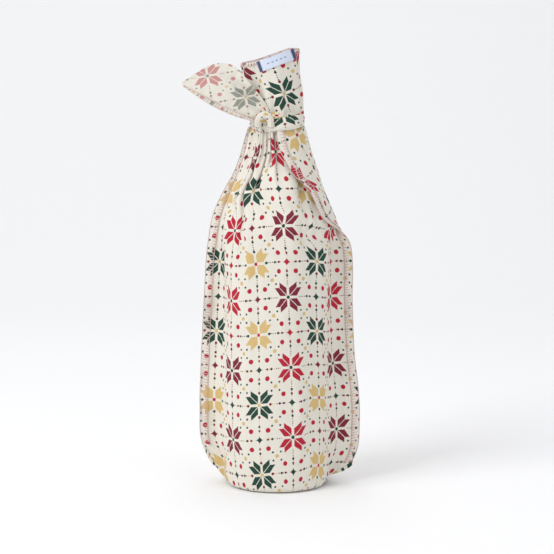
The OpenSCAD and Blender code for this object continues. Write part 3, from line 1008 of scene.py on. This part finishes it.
sleeve_out = normals_of(sleeve_grid)
rim_edge = sleeve_grid[-1] - sleeve_out[-1] * CLOTH / 2
inset = 4  # rows from the rim to the needle stitches
rim_front = (sleeve_grid + sleeve_out * THREAD_LIFT)[-1 - inset]
rim_back = (sleeve_grid - sleeve_out * (CLOTH + THREAD_LIFT))[-1 - inset]
rim_thread = overlock("upper_tail_overlock", rim_edge, rim_front, rim_back, blush_thread)
on_bag(rim_thread, "upper_tail_stitching")

# ---------------------------------------------------------------- label

LABEL_SLOPE = math.radians(20)
PER_RADIAN = 19 * MM  # about the upper tail's radius: how far x moves for one radian
LABEL_PLACE = (-0.2 * MM, 309.0 * MM)


def label_grid(cols, rows, lift, length=LABEL_L, width=LABEL_W, shift=0.0):
    """Places on the label, which follows the front of the upper tail."""
    s, w = np.meshgrid(np.linspace(0, 1, cols), np.linspace(0, 1, rows))
    along = (s - 0.5) * length + shift
    across = (w - 0.5) * width
    x = LABEL_PLACE[0] + along * math.cos(LABEL_SLOPE) - across * math.sin(LABEL_SLOPE)
    z = LABEL_PLACE[1] + along * math.sin(LABEL_SLOPE) + across * math.cos(LABEL_SLOPE)
    share = np.clip((z - SLEEVE_FOOT) / (rim_height(x) - SLEEVE_FOOT), 0, 1)
    angle = np.full_like(x, -math.pi / 2)
    for _ in range(12):
        here = sleeve(angle, share)
        angle = angle + (x - here[..., 0]) / PER_RADIAN
    y = sleeve(angle, share)[..., 1] - lift
    grid = np.stack([x, y, z], -1)
    flat = np.stack([along + LABEL_L / 2, across + LABEL_W / 2], -1)
    return grid, flat


ribbon_grid, ribbon_flat = label_grid(57, 17, 1.0 * MM)
curl = ((ribbon_flat[..., 0] / LABEL_L - 0.5) * 2) ** 4
ribbon_grid[..., 1] -= 0.35 * MM * curl
label_cloth = cloth_object("label_cloth", ribbon_grid, ribbon_flat, False, [ribbon, ribbon], LABEL_T)
on_bag(label_cloth, "label")


def bar_tack(end):
    """A zigzag of navy thread across the label's end."""
    steps = 26
    paths = []
    for j in range(2):
        shift = end * (LABEL_L / 2 - (1.0 + 1.1 * j) * MM)
        column, _ = label_grid(2, steps, 1.25 * MM, length=0.9 * MM, width=LABEL_W - 1 * MM, shift=shift)
        paths.append(np.array([column[i, i % 2] for i in range(steps)]))
    return paths


tacks = join_tubes("label_tacks", bar_tack(-1) + bar_tack(1), 0.14 * MM, navy_thread)
on_bag(tacks, "label_stitches")

# ---------------------------------------------------------------- knot


def bundle(name, path, outward, width, thick, turns, anchor_uv, materials, closed=False, seed=5):
    """Bunched cloth swept along a path: an oval with creases that run along it."""
    path = np.asarray(path, float)
    count, sides = len(path), 84
    ahead = np.roll(path, -1, 0) - np.roll(path, 1, 0) if closed else np.gradient(path, axis=0)
    ahead /= np.linalg.norm(ahead, axis=1)[:, None]
    out = np.asarray(outward, float)
    out = out - ahead * np.sum(out * ahead, 1)[:, None]
    out /= np.linalg.norm(out, axis=1)[:, None]
    up = np.cross(ahead, out)
    along = np.append(0, np.cumsum(np.linalg.norm(np.diff(path, axis=0), axis=1)))
    ring = np.linspace(0, 2 * math.pi, sides, endpoint=False)
    ww = width(along / along[-1]) if callable(width) else np.full(count, width)
    tt = thick(along / along[-1]) if callable(thick) else np.full(count, thick)
    drift = 0.5 * np.sin(along / (9 * MM) + seed)
    crease = np.zeros((count, sides))
    rng = np.random.default_rng(seed)
    for k in turns:
        phase = rng.uniform(0, 2 * math.pi)
        weight = 0.5 / math.sqrt(len(turns))
        crease += weight * (1 - np.abs(np.sin(k * ring[None, :] / 2 + phase + drift[:, None])) ** 0.7)
    size = 1 - 0.46 * crease
    verts = (path[:, None] + (ww[:, None] / 2 * np.cos(ring)[None] * size)[..., None] * up[:, None]
             + (tt[:, None] / 2 * np.sin(ring)[None] * size)[..., None] * out[:, None])
    uv = np.stack(np.broadcast_arrays(
        anchor_uv[0] * MM + along[:, None],
        anchor_uv[1] * MM + (np.cos(ring) * 0.5 * np.mean(ww) * 1.25)[None]), -1)
    rows = count + 1 if closed else count
    if closed:
        verts = np.concatenate([verts, verts[:1]], 0)
        uv = np.concatenate([uv, uv[:1] + np.array([along[-1] / count, 0])], 0)
    verts = np.concatenate([verts, verts[:, :1]], 1)
    uv = np.concatenate([uv, uv[:, :1]], 1)
    faces = grid_faces(rows, sides + 1, flip=True)
    obj = mesh_object(name, verts.reshape(-1, 3), faces, uv.reshape(-1, 2), materials)
    weld = obj.modifiers.new("weld", "WELD")
    weld.merge_threshold = 0.01 * MM
    return obj


def on_neck(degrees, radius, z):
    a = np.radians(degrees)
    return np.stack([radius * np.cos(a), radius * np.sin(a), z + 0 * a], -1)


band_r = band_high.x - 2.3 * MM
turn = np.linspace(0, 360, 150, endpoint=False)
band_path = on_neck(turn, band_r + 0.6 * MM * np.sin(np.radians(3 * turn)), KNOT_Z)
band_cloth = bundle("knot_band_cloth", band_path, band_path * [1, 1, 0], 15 * MM, 5.2 * MM, (5, 9, 13),
                    (3, 9), [right_side], closed=True, seed=4)
on_bag(band_cloth, "knot_band")

wrap_share = np.linspace(0, 1, 70)
wrap_turn = -106 + 84 * wrap_share
wrap_path = on_neck(wrap_turn, band_high.x + 0.8 * MM + 1.6 * MM * np.sin(math.pi * wrap_share),
                    KNOT_Z + (-2.2 + 4.4 * wrap_share) * MM)


def wrap_width(share):
    return (7 + 3.5 * np.sin(math.pi * np.clip(share * 0.8 + 0.1, 0, 1))) * MM


def wrap_thickness(share):
    return (1.5 + 3.5 * np.sin(math.pi * share) ** 0.6) * MM


wrap_cloth = bundle("knot_wrap_cloth", wrap_path, wrap_path * [1, 1, 0], wrap_width, wrap_thickness,
                    (5, 9, 14), (23, 162.6), [right_side], seed=8)
on_bag(wrap_cloth, "knot_wrap")

loop_points = np.array([(-12.4, -18.5, 261.5), (-13.4, -21, 266), (-11.2, -23, 270.4), (-7.2, -23.6, 270.6),
                        (-4.6, -23.4, 267.2), (-4.2, -21.5, 263)]) * MM
loop_share = np.linspace(0, 1, 60)
loop_path = spline(loop_points, loop_share)
loop_out = np.tile([0.0, -1.0, 0.15], (60, 1))
loop_cloth = bundle("knot_loop_cloth", loop_path, loop_out, 5.2 * MM, 5.0 * MM, (5, 8, 12), (33, 40),
                    [right_side], seed=2)
on_bag(loop_cloth, "knot_loop")

# ---------------------------------------------------------------- left tail

TAIL_FOOT = [(-6, 264), (-15, 266), (-25, 268.5), (-38, 273.5), (-52, 281), (-67.2, 291.6)]
TAIL_TOP = [(-4, 272), (-11, 282), (-20, 292.5), (-31.5, 304), (-47, 305), (-67.2, 293.6)]
TAIL_SPLIT = 0.47
TAIL_Y = (tail_low.y + tail_high.y) / 2


def leaf(s, t):
    """A place on the tail: s from the knot to the tip, t from the lower edge to the upper one."""
    low = spline(TAIL_FOOT, s) * MM
    top = spline(TAIL_TOP, s) * MM
    swell = 1 + 0.05 * np.sin(math.pi * s)
    mid = low + (top - low) * (t * swell)[..., None]
    cup = (t - 0.45) ** 2 * 4
    depth = -3.2 * cup * np.sin(math.pi * np.clip(s * 1.05, 0, 1)) + 1.2
    wave = 1.5 * np.sin(5.5 * s + 2.2 * t + 0.7) * ease(s, 0.1, 0.5)
    gather = 1.3 * np.sin(17 * t + 0.5) * (1 - ease(s, 0.05, 0.5))
    valley = 4.0 * np.exp(-((t - 0.70 + 0.2 * (s - 0.4)) / 0.12) ** 2) * np.exp(-((s - 0.42) / 0.2) ** 2)
    y = TAIL_Y + (depth + wave + gather + valley) * MM - 1.5 * MM * (1 - ease(s, 0, 0.3))
    return np.stack([mid[..., 0], y, mid[..., 1]], -1)


def leaf_sheet(first, last, cols, rows=56):
    ss, tt = np.meshgrid(np.linspace(first, last, cols), np.linspace(0, 1, rows))
    grid = leaf(ss, tt)
    flat = turned_print(grid[..., 0], grid[..., 2], (-49.3, 298), 0, 4, 10, (-1.06, 1.31))
    lift = 0.25 * MM * ripple(flat, (14 * MM, 20 * MM), 41)
    grid[..., 1] += lift
    return grid, flat


def edge_thread(name, first, last, count):
    """Overlock along the tail's lower edge."""
    s = np.linspace(first, last, count)
    rim = leaf(s, np.zeros(count))
    inner = leaf(s, np.full(count, 0.07) * (1 + 0.8 * s))
    lift = 0.14 * MM
    away = np.array([0, lift + CLOTH, 0])
    return overlock(name, rim + away / 2, inner - [0, lift, 0], inner + away, blush_thread)


root_grid, root_flat = leaf_sheet(0.0, TAIL_SPLIT, 70)
tip_grid, tip_flat = leaf_sheet(TAIL_SPLIT, 1.0, 80)
root_cloth = cloth_object("left_tail_cloth", root_grid, root_flat, True, [wrong_side, right_side])
tip_cloth = cloth_object("left_tail_tip_cloth", tip_grid, tip_flat, True, [wrong_side, right_side])
root_thread = edge_thread("left_tail_overlock", 0.05, TAIL_SPLIT, 120)
tip_thread = edge_thread("left_tail_tip_overlock", TAIL_SPLIT, 0.99, 120)

swing, fold = frame["joints"]
swing_at, fold_at = Vector(swing["pos_m"]), Vector(fold["pos_m"])
for piece, node, slot, joint, at in (
        (root_cloth, "left_tail", "printed_cotton", swing, swing_at),
        (root_thread, "left_tail_stitching", "overlock_thread", swing, swing_at),
        (tip_cloth, "left_tail_tip", "printed_cotton", fold, fold_at),
        (tip_thread, "left_tail_tip_stitching", "overlock_thread", fold, fold_at)):
    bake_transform(piece)
    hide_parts(node)

# ---------------------------------------------------------------- bottom seam

across = np.linspace(seam_low.x, seam_high.x, 200)
SEAM_Z = 0.5 * MM
HALF_SEAM = 2.6 * MM  # from the middle of the seam to its needle stitches
NEEDLE_DROP = -0.25 * MM
mid_line = np.stack([across, 0 * across, SEAM_Z + 0 * across], -1)
seam_front = mid_line + [0, -HALF_SEAM, NEEDLE_DROP]
seam_back = mid_line + [0, HALF_SEAM, NEEDLE_DROP]
zigzag = np.array([(seam_front if i % 2 else seam_back)[i] for i in range(200)]) + [0, 0, 0.1 * MM]
cross_thread = resample([zigzag], 1600)[0][0]
bottom_thread = join_tubes("bottom_overlock", [cross_thread, seam_front, seam_back], 0.18 * MM, cream_thread)
on_bag(bottom_thread, "bottom_seam_stitching")
